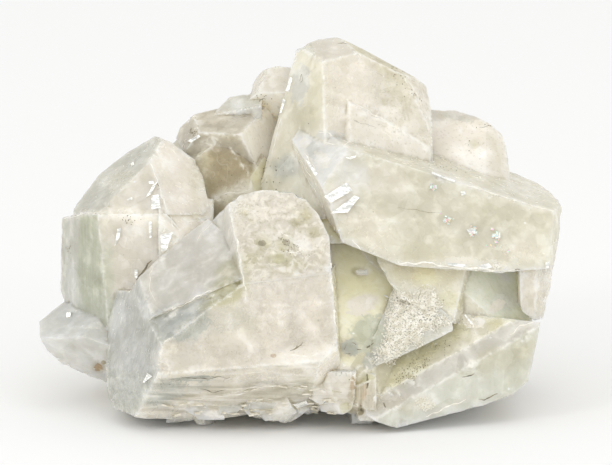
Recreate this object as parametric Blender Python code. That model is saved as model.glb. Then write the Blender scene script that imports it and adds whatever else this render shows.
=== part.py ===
"""Datolite: a loose hand specimen of pale, blocky crystals grown together on a broken base.

The crystals are one solid, because they grew into each other. Each one starts as a rough block,
and its faces are flat cuts through that block, as on a faceted stone. The blocks are then joined,
and the foot is cut off flat, so that the specimen rests on it.

The faces in front are placed from a front picture of the specimen. A point there is written as
(pixels across, pixels down, depth in mm), and place() turns it into metres. Depth grows away
from the viewer, and the picture looks down on the specimen by VIEW_TILT.
"""

import math
import random

import bmesh
import bpy
from mathutils import Euler, Matrix, Vector

# Driving sizes, in metres
SPECIMEN_WIDTH = 0.080
VIEW_DISTANCE = 0.80
VIEW_TILT = math.radians(12.0)
VIEW_CENTRE_HEIGHT = 0.0262

# The specimen in the front picture, in pixels
PICTURE_LEFT = 39
PICTURE_RIGHT = 561
PICTURE_CENTRE_ACROSS = 300
PICTURE_CENTRE_DOWN = 232

MM = 0.001
PIXEL = SPECIMEN_WIDTH / (PICTURE_RIGHT - PICTURE_LEFT)

# The picture's own directions in the specimen's frame
ACROSS = Vector((1.0, 0.0, 0.0))
UP = Vector((0.0, math.sin(VIEW_TILT), math.cos(VIEW_TILT)))
INTO = Vector((0.0, math.cos(VIEW_TILT), -math.sin(VIEW_TILT)))
CENTRE = Vector((0.0, 0.0, VIEW_CENTRE_HEIGHT))

# The row of crumbs along the broken foot, its places in pixels
CRUMBS = 13
CRUMB_FACES = 11
CRUMB_ROW_START = 186
CRUMB_SPACING = 15

# How far an outline face turns away from the viewer, in degrees: past 90, so that nothing behind
# the outline shows. Behind its rear depth a crystal draws in more.
EDGE_ON = 97
REAR_LEAN = 128


def place(across, down, depth):
    """The point that the picture shows at these pixels, this many millimetres deep."""
    depth = depth * MM
    spread = PIXEL * (1.0 + depth / VIEW_DISTANCE)
    right = (across - PICTURE_CENTRE_ACROSS) * spread
    rise = (PICTURE_CENTRE_DOWN - down) * spread
    return CENTRE + ACROSS * right + UP * rise + INTO * depth


def leaning(first, second, lean, heart):
    """The outward normal of a face that holds an edge. Lean is 0 where it faces the viewer,
    90 where it is seen edge on, and more where it turns away."""
    edge = (second - first).normalized()
    towards = -INTO + edge * INTO.dot(edge)
    towards.normalize()
    outward = edge.cross(towards)
    if outward.dot(heart - first) > 0.0:
        outward.negate()
    lean = math.radians(lean)
    return towards * math.cos(lean) + outward * math.sin(lean)


def cut(mesh, point, normal):
    """Cuts away what lies outside one flat face, and closes the cut."""
    everything = mesh.verts[:] + mesh.edges[:] + mesh.faces[:]
    done = bmesh.ops.bisect_plane(
        mesh, geom=everything, dist=1e-7, plane_co=point, plane_no=normal, clear_outer=True
    )
    rim = [piece for piece in done["geom_cut"] if isinstance(piece, bmesh.types.BMEdge)]
    if len(rim) > 2:
        bmesh.ops.edgeloop_fill(mesh, edges=rim)


def finish(name, mesh):
    """One crystal as its own mesh object."""
    bmesh.ops.recalc_face_normals(mesh, faces=mesh.faces[:])
    data = bpy.data.meshes.new(name)
    mesh.to_mesh(data)
    mesh.free()
    return bpy.data.objects.new(name, data)


def crystal(name, block, faces, outline=(), rear=None):
    """A crystal seen in the picture: a rough block (left, top, right, bottom, front, back) that
    its faces are cut from. Each face is two points and a lean, or three points. The outline is
    a row of points, with a face seen edge on between each and the next."""
    left, top, right, bottom, front, back = block
    heart = place((left + right) / 2, (top + bottom) / 2, (front + back) / 2)
    size = Vector(((right - left) * PIXEL, (back - front) * MM, (bottom - top) * PIXEL))
    turn = Matrix((ACROSS, INTO, UP)).transposed().to_4x4()
    matrix = Matrix.Translation(heart) @ turn @ Matrix.Diagonal((*size, 1.0))
    mesh = bmesh.new()
    bmesh.ops.create_cube(mesh, size=1.0, matrix=matrix)
    cuts = list(faces.values())
    for first, second in zip(outline, outline[1:]):
        cuts.append((first, second, EDGE_ON))
        if rear is not None:
            cuts.append(((*first[:2], rear), (*second[:2], rear), REAR_LEAN))
    for first, second, third in cuts:
        first = place(*first)
        second = place(*second)
        if isinstance(third, tuple):
            normal = (second - first).cross(place(*third) - first).normalized()
            if normal.dot(heart - first) > 0.0:
                normal.negate()
        else:
            normal = leaning(first, second, third, heart)
        cut(mesh, first, normal)
    return finish(name, mesh)


def centre_crystals():
    """The big block in the middle, nearest the viewer, with the wedge on its upper left."""
    brow = (228, 203, -11.0)
    sill_left = (243, 283, -19.0)
    sill_right = (329, 272, -19.0)
    chin_left = (157, 374, -21.3)
    chin_right = (334, 364, -21.0)
    upper = crystal(
        "centre_upper",
        block=(206, 186, 334, 306, -22, 14),
        faces={
            "rough_front": (brow, sill_left, sill_right),
            "ridge_side": (brow, sill_left, (211, 222, -7.0)),
            "foot": ((243, 284, -19.0), (329, 273, -19.0), 100),
        },
        outline=[
            (226, 205, -10.5), (240, 195, -9.5), (262, 190, -9.0), (290, 192, -9.0),
            (305, 200, -9.5), (318, 216, -11.5), (328, 236, -14.0), (331, 275, -19.0),
        ],
    )
    lower = crystal(
        "centre_lower",
        block=(100, 262, 339, 425, -23, 14),
        faces={
            "front": (sill_left, sill_right, chin_left),
            "top": ((243, 282.4, -19.0), (329, 271.4, -19.0), 85),
            "grey_slope": (sill_left, (158, 346, -20.6), (143, 318, -15.0)),
            "left_side": ((145, 320, -15.0), (150, 368, -19.0), (107, 345, -6.0)),
            "underside": (chin_left, chin_right, 42),
            "chin_bevel": ((318, 366, -21.0), (338, 348, -20.5), 60),
            "right_side": ((331, 272, -19.0), (338, 350, -20.4), 86),
            "corner": ((149, 366, -19.0), (157, 374, -21.3), (141, 384, -17.0)),
        },
        outline=[
            (107, 322, -5.0), (107, 383, -6.0), (113, 406, -8.0), (131, 413, -12.0),
            (143, 417, -14.0), (215, 418, -13.0), (262, 410, -13.0),
        ],
    )
    wedge = crystal(
        "centre_wedge",
        block=(105, 208, 242, 330, -21, 14),
        faces={
            "upper": ((165, 254, -10.0), (238, 282, -18.6), (212, 218, -9.0)),
            "lens": ((165, 254, -10.0), (238, 282, -18.6), (150, 290, -14.0)),
            "left_side": ((145, 320, -15.0), (150, 368, -19.0), (107, 345, -6.0)),
            "bright_edge": ((164, 312, -16.5), (216, 289, -17.8), 58),
        },
        outline=[
            (107, 323, -5.0), (138, 279, -9.0), (164, 252, -10.0),
            (190, 229, -9.5), (208, 217, -9.0), (217, 226, -9.5),
        ],
    )
    return [upper, lower, wedge]


def left_crystals():
    """The rounded crystal on the left, the green block under it, and the small one below."""
    upper = crystal(
        "left_upper",
        block=(74, 134, 214, 250, -9, 20),
        rear=8.0,
        faces={
            "front": ((150, 160, -1.5), (97, 213, -6.0), (168, 213, -7.5)),
            "right_front": ((150, 160, -1.5), (168, 213, -7.5), (208, 206, -2.5)),
            "green_shoulder": ((150, 160, -1.5), (97, 213, -6.0), (96, 182, 4.0)),
            "cap": ((150, 160, -1.5), (124, 152, 5.0), (154, 136, 5.0)),
            "foot": ((97, 214.5, -6.3), (168, 214.5, -7.8), 90),
        },
        outline=[
            (71, 222, 4.0), (78, 205, 4.0), (97, 174, 5.0), (124, 152, 5.0), (154, 135, 5.0),
            (175, 142, 1.0), (197, 158, 0.0), (204, 176, -1.0), (209, 206, -2.0), (196, 224, -4.0),
        ],
    )
    lower = crystal(
        "left_lower",
        block=(54, 208, 182, 330, -9, 20),
        rear=8.0,
        faces={
            "front": ((97, 214, -6.5), (107, 322, -4.6), (166, 213, -8.0)),
            "green_side": ((97, 214, -6.5), (107, 322, -4.6), (62, 250, 2.0)),
            "side_bevel": ((72, 216, 0.0), (76, 312, 1.0), (60, 270, 6.0)),
            "ledge": ((97, 214, -6.5), (166, 213, -8.0), 82),
            "right": ((166, 213, -8.0), (180, 229, -7.5), 92),
        },
        outline=[
            (182, 308, 0.0), (108, 334, 0.0), (80, 322, 2.0), (65, 312, 3.0),
            (57, 290, 4.0), (59, 249, 4.0), (61, 217, 4.0), (97, 211, -3.0),
        ],
    )
    small = crystal(
        "left_small",
        block=(36, 298, 116, 388, -9, 14),
        rear=5.0,
        faces={
            "upper": ((44, 337, -3.0), (104, 336, -8.0), (63, 303, 3.5)),
            "lower": ((44, 337, -3.0), (104, 336, -8.0), (75, 366, 1.0)),
            "face_right": ((84, 312, -3.0), (86, 340, -6.7), (112, 336, -5.0)),
        },
        outline=[
            (99, 316, 0.0), (64, 300, 3.5), (38, 321, 1.0), (40, 337, -2.0), (44, 349, -2.0),
            (60, 364, 0.5), (88, 378, 0.0), (108, 385, 0.0),
        ],
    )
    saddle = crystal(
        "left_saddle",
        block=(160, 198, 214, 262, -9, 16),
        faces={
            "front": ((168, 213, -7.0), (208, 206, -2.2), (182, 232, -8.0)),
        },
    )
    return [upper, lower, small, saddle]


def top_crystals():
    """The block that stands highest, and the steps and lumps around its foot."""
    edge_top = (322, 60, -1.0)
    edge_foot = (324, 126, -4.0)
    block = crystal(
        "top_block",
        block=(254, 34, 432, 220, -7, 22),
        rear=13.0,
        faces={
            "front": (edge_top, edge_foot, (424, 100, 3.0)),
            "left_front": (edge_top, edge_foot, (290, 80, 4.0)),
            "left_strip": ((297, 54, 3.5), (283, 112, 2.0), 70),
            "pink_facet": ((312, 47, 3.0), (322, 60, -1.0), (340, 39, 4.0)),
            "pale_facet": ((325, 60, -0.8), (359, 52, 1.5), (345, 40, 5.0)),
            "rim": ((358, 52, 1.5), (403, 74, 3.4), (404, 68, 9.0)),
            "corner": ((404, 74, 3.4), (426, 112, 3.6), (426, 86, 8.0)),
        },
        outline=[
            (262, 174, 5.0), (296, 51, 6.0), (318, 40, 7.0),
            (340, 37, 7.0), (360, 49, 8.0), (403, 69, 9.0), (425, 86, 9.0), (429, 112, 8.0),
            (430, 160, 6.0),
        ],
    )
    ledge = crystal(
        "top_ledge",
        block=(338, 98, 430, 180, -8, 18),
        faces={
            "front": ((350, 105, -1.9), (396, 128, -0.3), (360, 142, -3.4)),
            "top": ((350, 104, -1.9), (396, 127, -0.3), 50),
            "left": ((349, 104, -1.9), (341, 138, -3.2), 30),
            "right": ((396, 127, -0.3), (428, 137, 2.4), 50),
        },
    )
    back_right = crystal(
        "back_right",
        block=(412, 106, 508, 200, 2, 26),
        rear=15.0,
        faces={
            "front": ((430, 130, 8.0), (492, 140, 8.0), (460, 162, 4.0)),
            "grey_facet": ((430, 122, 9.0), (478, 124, 9.5), (455, 132, 7.0)),
            "right_front": ((478, 124, 9.5), (484, 155, 5.5), (504, 144, 9.0)),
        },
        outline=[
            (426, 110, 14.0), (455, 111, 14.0), (476, 118, 13.0), (491, 126, 12.0),
            (501, 136, 12.0), (504, 145, 11.0), (506, 180, 9.0),
        ],
    )
    knob = crystal(
        "back_knob",
        block=(246, 64, 294, 124, 4, 24),
        rear=15.0,
        faces={
            "front": ((258, 92, 8.0), (286, 92, 7.0), (272, 76, 10.0)),
            "lower": ((258, 92, 8.0), (286, 92, 7.0), (268, 104, 9.5)),
            "cheek": ((258, 92, 8.0), (264, 74, 11.0), (253, 88, 11.0)),
        },
        outline=[
            (250, 106, 12.0), (251, 84, 12.0), (255, 75, 12.0), (262, 69, 12.0),
            (276, 66, 12.0), (292, 68, 12.0),
        ],
    )
    chip = crystal(
        "back_chip",
        block=(214, 92, 262, 136, 5, 22),
        rear=15.0,
        faces={
            "front": ((226, 112, 8.0), (250, 108, 7.5), (240, 99, 10.0)),
            "lower": ((226, 112, 8.0), (250, 108, 7.5), (238, 124, 9.0)),
        },
        outline=[
            (212, 118, 12.0), (222, 106, 12.0), (230, 97, 12.0), (248, 93, 12.0), (262, 92, 12.0),
        ],
    )
    back_left = crystal(
        "back_left",
        block=(170, 104, 284, 190, 1, 24),
        rear=14.0,
        faces={
            "front": ((198, 132, 4.5), (240, 134, 3.5), (220, 116, 8.0)),
            "lower": ((198, 132, 4.5), (240, 134, 3.5), (216, 152, 5.5)),
            "cheek": ((198, 132, 4.5), (190, 119, 9.0), (184, 146, 7.0)),
            "right": ((240, 134, 3.5), (248, 112, 6.0), (262, 135, 8.0)),
        },
        outline=[
            (205, 170, 9.0), (183, 149, 9.0), (173, 138, 9.0), (178, 126, 9.5), (188, 118, 10.0),
            (200, 112, 10.0), (223, 107, 11.0), (270, 104, 12.0),
        ],
    )
    hollow_wall = crystal(
        "hollow_wall",
        block=(194, 128, 284, 270, 2, 24),
        faces={
            "left_wall": ((205, 148, 8.0), (240, 150, 11.0), (225, 200, 4.0)),
            "right_wall": ((240, 150, 11.0), (270, 145, 6.0), (240, 200, 5.0)),
        },
    )
    return [block, ledge, back_right, knob, chip, back_left, hollow_wall]


def right_crystals():
    """The long crystal that lies across the upper right, and what fills the space under it."""
    ridge_left = (350, 149, -8.0)
    ridge_right = (556, 211, -4.5)
    crease_left = (333, 209, -13.0)
    crease_right = (551, 250, -7.6)
    long_crystal = crystal(
        "long_crystal",
        block=(288, 122, 564, 285, -15, 14),
        rear=8.0,
        faces={
            "top": (ridge_left, ridge_right, (470, 158, 9.0)),
            "front_upper": (ridge_left, ridge_right, crease_left),
            "front_lower": (crease_left, crease_right, (420, 262, -12.0)),
            "left_bevel": ((303, 152, -6.0), (333, 222, -12.0), (294, 150, 0.0)),
            "nose": ((316, 176, -9.5), (348, 147, -7.8), (304, 142, -2.5)),
            "right_end": ((553, 212, -5.0), (549, 247, -8.0), (560, 214, -1.0)),
        },
        outline=[
            (396, 263, -11.8), (336, 237, -10.5),
            (318, 206, -6.0), (305, 187, -3.5), (296, 165, -1.0), (292, 141, 2.0),
            (300, 130, 3.0), (312, 126, 4.0), (506, 160, 13.0),
            (522, 171, 10.0), (542, 184, 7.0), (558, 199, 2.0), (562, 212, 0.0),
            (559, 240, -3.0), (554, 266, -6.0), (500, 272, -9.0), (396, 264, -11.5),
        ],
    )
    saddle = crystal(
        "right_saddle",
        block=(300, 190, 362, 243, -10, 14),
        faces={
            "front": ((316, 200, -4.0), (336, 238, -9.3), (322, 232, -8.0)),
        },
    )
    green_face = crystal(
        "green_face",
        block=(324, 234, 412, 392, -17, 14),
        faces={
            "front": ((333, 240, -11.0), (336, 352, -17.4), (392, 284, -8.2)),
            "low_facet": ((352, 318, -12.4), (380, 300, -9.6), (376, 345, -14.0)),
        },
    )
    pale_crystal = crystal(
        "pale_crystal",
        block=(376, 250, 472, 326, -14, 14),
        faces={
            "front": ((386, 262, -9.0), (466, 276, -8.0), (420, 306, -12.0)),
            "right": ((464, 274, -8.0), (458, 302, -10.5), (470, 310, -5.0)),
        },
        outline=[(456, 322, -10.0), (398, 294, -9.0), (378, 262, -8.0)],
    )
    sugar_crystal = crystal(
        "sugar_crystal",
        block=(366, 282, 452, 366, -17, 14),
        faces={
            "front": ((402, 290, -10.2), (376, 354, -14.4), (440, 312, -12.2)),
        },
        outline=[
            (450, 328, -10.0), (402, 352, -12.0), (376, 362, -12.0), (368, 352, -12.0),
            (394, 288, -8.0), (403, 285, -8.0), (424, 296, -8.0), (448, 318, -9.0),
            (450, 328, -10.0),
        ],
    )
    window = crystal(
        "dark_window",
        block=(418, 262, 530, 350, -8, 14),
        faces={
            "front": ((468, 276, -7.5), (516, 274, -6.5), (490, 328, -9.6)),
            "slope": ((462, 290, -8.0), (480, 325, -10.0), (488, 295, -6.0)),
        },
    )
    post = crystal(
        "right_post",
        block=(516, 258, 558, 322, -10, 14),
        rear=4.0,
        faces={
            "front": ((520, 276, -8.0), (546, 268, -7.0), (528, 310, -8.5)),
            "right_front": ((536, 272, -7.5), (536, 315, -8.0), (553, 268, -2.0)),
            "left": ((519, 276, -8.0), (520, 309, -8.5), 88),
        },
        outline=[
            (519, 308, -8.0), (534, 320, -8.0), (542, 318, -5.0), (550, 286, -3.0), (555, 262, -3.0),
        ],
    )
    lower_right = crystal(
        "lower_right",
        block=(364, 304, 538, 432, -17, 16),
        rear=4.0,
        faces={
            "olive": ((392, 388, -15.5), (484, 336, -12.5), (372, 360, -11.5)),
            "lilac": ((392, 388, -15.5), (484, 336, -12.5), (404, 402, -16.2)),
            "green": ((404, 402, -16.2), (496, 350, -13.2), (510, 392, -11.5)),
            "top": ((458, 312, -10.5), (534, 322, -4.0), 92),
        },
        outline=[
            (368, 360, -10.0), (369, 410, -11.0), (380, 417, -11.0), (397, 424, -12.0),
            (450, 412, -12.0), (478, 404, -10.0), (511, 391, -8.0),
            (525, 378, -7.0), (530, 350, -7.0), (535, 320, -6.0),
        ],
    )
    return [
        long_crystal, saddle, green_face, pale_crystal, sugar_crystal, window, post, lower_right,
    ]


def hidden_crystals():
    """The crystals at the back. Each has the habit of the kind: a stout prism with bevels."""
    habit = [
        ((1, 0, 0), 0.86), ((0, 0, 1), 0.72), ((0.8, 1, 0), 0.84), ((-0.8, 1, 0), 0.84),
        ((0, 1, 0.9), 0.86), ((0, -1, 0.9), 0.86), ((1, 0, 0.8), 0.92), ((-1, 0, 0.8), 0.90),
        ((0.7, 1, 1), 0.94), ((-0.7, 1, 1), 0.94), ((0.7, -1, 1), 0.94), ((-0.7, -1, 1), 0.92),
    ]
    # Middle (x, y, z) in mm, reach in mm, turn in degrees
    placed = {
        "back_middle": ((3, 16, 22), 17, (20, 35, 10)),
        "back_low_left": ((-19, 7, 14), 14, (-30, 20, 50)),
        "back_low_right": ((20, 9, 15), 15, (40, -15, 75)),
        "back_upper_left": ((-12, 15, 29), 12, (15, 50, 30)),
        "back_upper_right": ((17, 15, 28), 12, (65, 10, 20)),
        "back_foot": ((-2, 16, 9), 13, (10, -25, 100)),
    }
    made = []
    for name, (middle, reach, turn) in placed.items():
        middle = Vector(middle) * MM
        reach = reach * MM
        rotation = Euler([math.radians(angle) for angle in turn]).to_matrix()
        mesh = bmesh.new()
        matrix = Matrix.Translation(middle) @ rotation.to_4x4()
        bmesh.ops.create_cube(mesh, size=2.0 * reach, matrix=matrix)
        for direction, distance in habit:
            for side in (1.0, -1.0):
                normal = rotation @ (Vector(direction).normalized() * side)
                cut(mesh, middle + normal * distance * reach, normal)
        made.append(finish(name, mesh))
    return made


def broken_base():
    """The foot, where the specimen was broken from the rock: a core and a row of crumbs."""
    rng = random.Random(17)
    core = crystal(
        "base_core",
        block=(140, 330, 500, 450, -7, 20),
        faces={
            "left": ((136, 370, 2.0), (150, 420, -6.0), (150, 390, 14.0)),
            "front_left": ((146, 400, -5.0), (250, 400, 1.0), (200, 430, -1.0)),
            "front": ((240, 400, 0.5), (350, 400, 0.5), (300, 430, 1.0)),
            "right": ((470, 360, 0.0), (415, 415, -4.0), (490, 390, 14.0)),
            "rear_left": ((150, 400, 12.0), (230, 400, 20.0), (180, 430, 14.0)),
            "rear_right": ((380, 400, 20.0), (440, 400, 10.0), (410, 430, 13.0)),
        },
    )
    clear_knob = crystal(
        "clear_knob",
        block=(182, 400, 214, 424, -17, -8),
        faces={
            "left": ((188, 412, -15.0), (196, 422, -14.0), (184, 408, -12.0)),
            "front": ((190, 408, -15.5), (206, 408, -15.5), (198, 422, -14.0)),
            "right": ((207, 407, -15.0), (204, 421, -14.0), (213, 410, -12.0)),
        },
    )
    brown_edge = crystal(
        "brown_edge",
        block=(346, 370, 372, 422, -15, 0),
        faces={
            "front": ((350, 378, -13.5), (366, 376, -13.0), (358, 418, -12.5)),
            "left": ((349, 376, -13.0), (351, 416, -12.0), (345, 390, -6.0)),
            "top": ((346, 378, -12.0), (370, 372, -12.0), 84),
        },
    )
    made = [core, clear_knob, brown_edge]
    for step in range(CRUMBS):
        across = CRUMB_ROW_START + CRUMB_SPACING * step + rng.uniform(-4, 4)
        middle = place(across, rng.uniform(386, 404), rng.uniform(-15.0, -11.5))
        reach = rng.uniform(2.6, 4.0) * MM
        mesh = bmesh.new()
        bmesh.ops.create_cube(mesh, size=2.0 * reach, matrix=Matrix.Translation(middle))
        for _ in range(CRUMB_FACES):
            normal = Vector([rng.gauss(0, 1) for _ in range(3)]).normalized()
            cut(mesh, middle + normal * reach * rng.uniform(0.6, 0.95), normal)
        made.append(finish("crumb", mesh))
    return made


def join(parts):
    """Joins every crystal into the first one, and cuts the foot flat."""
    specimen = bpy.data.collections.new("datolite")
    blocks = bpy.data.collections.new("crystal_blocks")
    for collection in (specimen, blocks):
        bpy.context.scene.collection.children.link(collection)
    main, *others = parts
    main.name = "datolite_crystals"
    specimen.objects.link(main)
    for other in others:
        blocks.objects.link(other)
    union = main.modifiers.new("grown_together", "BOOLEAN")
    union.operation = "UNION"
    union.operand_type = "COLLECTION"
    union.collection = blocks
    union.solver = "EXACT"

    below = bmesh.new()
    bmesh.ops.create_cube(below, size=0.2, matrix=Matrix.Translation((0.0, 0.0, -0.1)))
    table = finish("below_the_foot", below)
    cutters = bpy.data.collections.new("cutters")
    bpy.context.scene.collection.children.link(cutters)
    cutters.objects.link(table)
    flat = main.modifiers.new("flat_foot", "BOOLEAN")
    flat.operation = "DIFFERENCE"
    flat.object = table
    flat.solver = "EXACT"
    for helper in [*others, table]:
        helper.hide_render = True
        helper.display_type = "WIRE"
    return main, [*others, table]


def colour(main):
    """One pale stone material for the whole specimen."""
    datolite = bpy.data.materials.new("datolite")
    datolite.use_nodes = True
    shader = datolite.node_tree.nodes["Principled BSDF"]
    shader.inputs["Base Color"].default_value = (0.62, 0.62, 0.48, 1.0)
    shader.inputs["Roughness"].default_value = 0.25
    shader.inputs["IOR"].default_value = 1.65
    main.data.materials.append(datolite)


def stand_in_the_middle(main, helpers):
    """Moves everything so that the specimen's box has its middle over the origin."""
    graph = bpy.context.evaluated_depsgraph_get()
    corners = [Vector(corner) for corner in main.evaluated_get(graph).bound_box]
    for axis in (0, 1):
        along = [corner[axis] for corner in corners]
        middle = (min(along) + max(along)) / 2
        for obj in [main, *helpers]:
            obj.location[axis] -= middle


def main():
    for obj in list(bpy.data.objects):
        bpy.data.objects.remove(obj, do_unlink=True)
    seen = centre_crystals() + left_crystals() + top_crystals() + right_crystals()
    specimen, helpers = join(seen + hidden_crystals() + broken_base())
    colour(specimen)
    stand_in_the_middle(specimen, helpers)


main()
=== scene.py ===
import math
import random

import bmesh
import bpy
import numpy as np
from mathutils import Matrix, Vector, noise
from mathutils.bvhtree import BVHTree
from mathutils.geometry import delaunay_2d_cdt


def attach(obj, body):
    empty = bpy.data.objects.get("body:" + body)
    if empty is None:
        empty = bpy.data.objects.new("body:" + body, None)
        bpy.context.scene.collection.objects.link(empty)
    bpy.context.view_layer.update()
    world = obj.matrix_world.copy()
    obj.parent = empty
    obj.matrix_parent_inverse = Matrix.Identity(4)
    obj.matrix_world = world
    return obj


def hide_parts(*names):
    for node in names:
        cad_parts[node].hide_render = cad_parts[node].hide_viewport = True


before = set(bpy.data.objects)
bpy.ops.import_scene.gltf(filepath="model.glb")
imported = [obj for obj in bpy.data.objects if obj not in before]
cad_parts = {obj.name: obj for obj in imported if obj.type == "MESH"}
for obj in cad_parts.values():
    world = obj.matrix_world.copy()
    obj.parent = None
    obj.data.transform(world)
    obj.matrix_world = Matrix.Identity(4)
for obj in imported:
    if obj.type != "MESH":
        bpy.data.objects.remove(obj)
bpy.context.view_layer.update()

# The photographer's table
# The specimen stands on a sheet of white card under soft lamps, and a long lens looks down on it
# a little. Places on the specimen are given as the picture shows them: (across, down) in pixels.
MM = 0.001
PICTURE_SIZE = (612, 465)
VIEW_DISTANCE = 0.80
VIEW_TILT = math.radians(12.0)
SPECIMEN_WIDTH = 0.080
SPECIMEN_PIXELS = 522
PIXEL = SPECIMEN_WIDTH / SPECIMEN_PIXELS
MIDDLE_PIXEL = (300, 232)
MIDDLE = Vector((0.0, -0.0040, 0.0262))
ACROSS = Vector((1.0, 0.0, 0.0))
UP = Vector((0.0, math.sin(VIEW_TILT), math.cos(VIEW_TILT)))
INTO = Vector((0.0, math.cos(VIEW_TILT), -math.sin(VIEW_TILT)))
SENSOR = 36.0


def place(across, down, depth=0.0):
    """The point at these pixels of the picture, this many millimetres behind its middle."""
    spread = PIXEL * (1.0 + depth * MM / VIEW_DISTANCE)
    right = (across - MIDDLE_PIXEL[0]) * spread
    rise = (MIDDLE_PIXEL[1] - down) * spread
    return MIDDLE + ACROSS * right + UP * rise + INTO * depth * MM


def linear(code):
    """A colour such as "E8E4D0", as the linear numbers that a shader takes."""
    parts = [int(code[i : i + 2], 16) / 255 for i in (0, 2, 4)]
    return [c / 12.92 if c <= 0.04045 else ((c + 0.055) / 1.055) ** 2.4 for c in parts]


def add(tree, kind, inputs=None, **settings):
    """Adds a node, with its settings, and its inputs as values or as another node's output."""
    made = tree.nodes.new(kind)
    for name, value in settings.items():
        setattr(made, name, value)
    for key, value in (inputs or {}).items():
        if isinstance(value, bpy.types.NodeSocket):
            tree.links.new(value, made.inputs[key])
        else:
            made.inputs[key].default_value = value
    return made


def show(name, mesh):
    """Puts a mesh in the scene as an object of its own."""
    made = bpy.data.objects.new(name, mesh)
    bpy.context.scene.collection.objects.link(made)
    return made


lens = bpy.data.cameras.new("long_lens")
lens.sensor_width = SENSOR
lens.lens = SENSOR * VIEW_DISTANCE / (PICTURE_SIZE[0] * PIXEL)
lens.clip_start = 0.01
camera = show("camera", lens)
EYE = place((PICTURE_SIZE[0] - 1) / 2, (PICTURE_SIZE[1] - 1) / 2) - INTO * VIEW_DISTANCE
camera.location = EYE
camera.rotation_euler = INTO.to_track_quat("-Z", "Y").to_euler()
bpy.context.scene.camera = camera

card_mesh = bmesh.new()
bmesh.ops.create_grid(card_mesh, x_segments=1, y_segments=1, size=1.5)
card_data = bpy.data.meshes.new("white_card")
card_mesh.to_mesh(card_data)
card_mesh.free()
show("white_card", card_data)
paper = bpy.data.materials.new("white_card")
paper.use_nodes = True
paper_shader = paper.node_tree.nodes["Principled BSDF"]
paper_shader.inputs["Base Color"].default_value = (*linear("F7F7F6"), 1.0)
paper_shader.inputs["Roughness"].default_value = 0.9
card_data.materials.append(paper)

world = bpy.data.worlds.new("white_room")
world.use_nodes = True
room = world.node_tree.nodes["Background"]
room.inputs["Color"].default_value = (*linear("FFFFFF"), 1.0)
room.inputs["Strength"].default_value = 0.95
bpy.context.scene.world = world
bpy.context.scene.view_settings.view_transform = "Standard"

LAMP_DIRECTIONS = {
    "left_softbox": Vector((-0.75, -0.75, 0.65)).normalized(),
    "top_softbox": Vector((0.25, -0.15, 1.0)).normalized(),
    "right_softbox": Vector((0.8, -0.7, 0.35)).normalized(),
    "front_softbox": Vector((0.05, -1.0, 0.13)).normalized(),
}


def lamp(name, distance, size, power):
    """A soft lamp, in its direction from the specimen."""
    light = bpy.data.lights.new(name, "AREA")
    light.shape = "RECTANGLE"
    light.size, light.size_y = size
    light.energy = power
    made = show(name, light)
    made.location = MIDDLE + LAMP_DIRECTIONS[name] * distance
    made.rotation_euler = (MIDDLE - made.location).to_track_quat("-Z", "Y").to_euler()


lamp("left_softbox", 0.7, (0.14, 0.18), 0.50)
lamp("top_softbox", 0.7, (0.30, 0.30), 0.25)
lamp("right_softbox", 0.9, (0.14, 0.20), 0.45)
lamp("front_softbox", 1.0, (0.80, 0.26), 1.3)

# The grown faces
# One cluster of datolite, a glassy borosilicate: stout crystals that grew into each other. Each
# flat face of the solid is divided finely here, so that it can carry grain, steps and chips.
MICRON = 1e-6
EDGE_STEP = 0.42 * MM
FRONT_STEP = 0.47 * MM
BACK_STEP = 0.60 * MM
FLAT = math.radians(0.5)
BULGE = 0.002
SHARP = math.radians(22.0)
SHADED_SHARP = math.radians(75.0)


def merged_facets(node):
    """The CAD node's loose triangles joined back into flat facets."""
    mesh = bmesh.new()
    mesh.from_mesh(node.data)
    bmesh.ops.remove_doubles(mesh, verts=mesh.verts[:], dist=2 * MICRON)
    bmesh.ops.dissolve_degenerate(mesh, edges=mesh.edges[:], dist=2 * MICRON)
    bmesh.ops.dissolve_limit(mesh, angle_limit=FLAT, verts=mesh.verts[:], edges=mesh.edges[:])
    mesh.normal_update()
    for row in (mesh.verts, mesh.edges, mesh.faces):
        row.index_update()
        row.ensure_lookup_table()
    return mesh


def inside(points, ring):
    """Which of these flat points lie inside the ring."""
    x, y = points[:, 0:1], points[:, 1:2]
    x1, y1 = ring[:, 0], ring[:, 1]
    x2, y2 = np.roll(x1, -1), np.roll(y1, -1)
    crosses = (y1 > y) != (y2 > y)
    with np.errstate(divide="ignore", invalid="ignore"):
        at = x1 + (y - y1) * (x2 - x1) / (y2 - y1)
    return (crosses & (x < at)).sum(axis=1) % 2 == 1


def even_dots(ring, step, rng):
    """Evenly strewn flat points inside a ring, this far apart, clear of its edge."""
    low, high = ring.min(axis=0), ring.max(axis=0)
    rows = np.arange(low[1], high[1], step * 0.866)
    columns = np.arange(low[0], high[0] + step, step)
    x, y = np.meshgrid(columns, rows)
    x[1::2] += step / 2
    dots = np.stack([x.ravel(), y.ravel()], axis=1)
    dots += rng.uniform(-0.16, 0.16, dots.shape) * step
    dots = dots[inside(dots, ring)]
    if len(dots):
        gap = np.min(np.linalg.norm(dots[:, None] - ring[None], axis=2), axis=1)
        dots = dots[gap > 0.55 * EDGE_STEP]
    return dots


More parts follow.
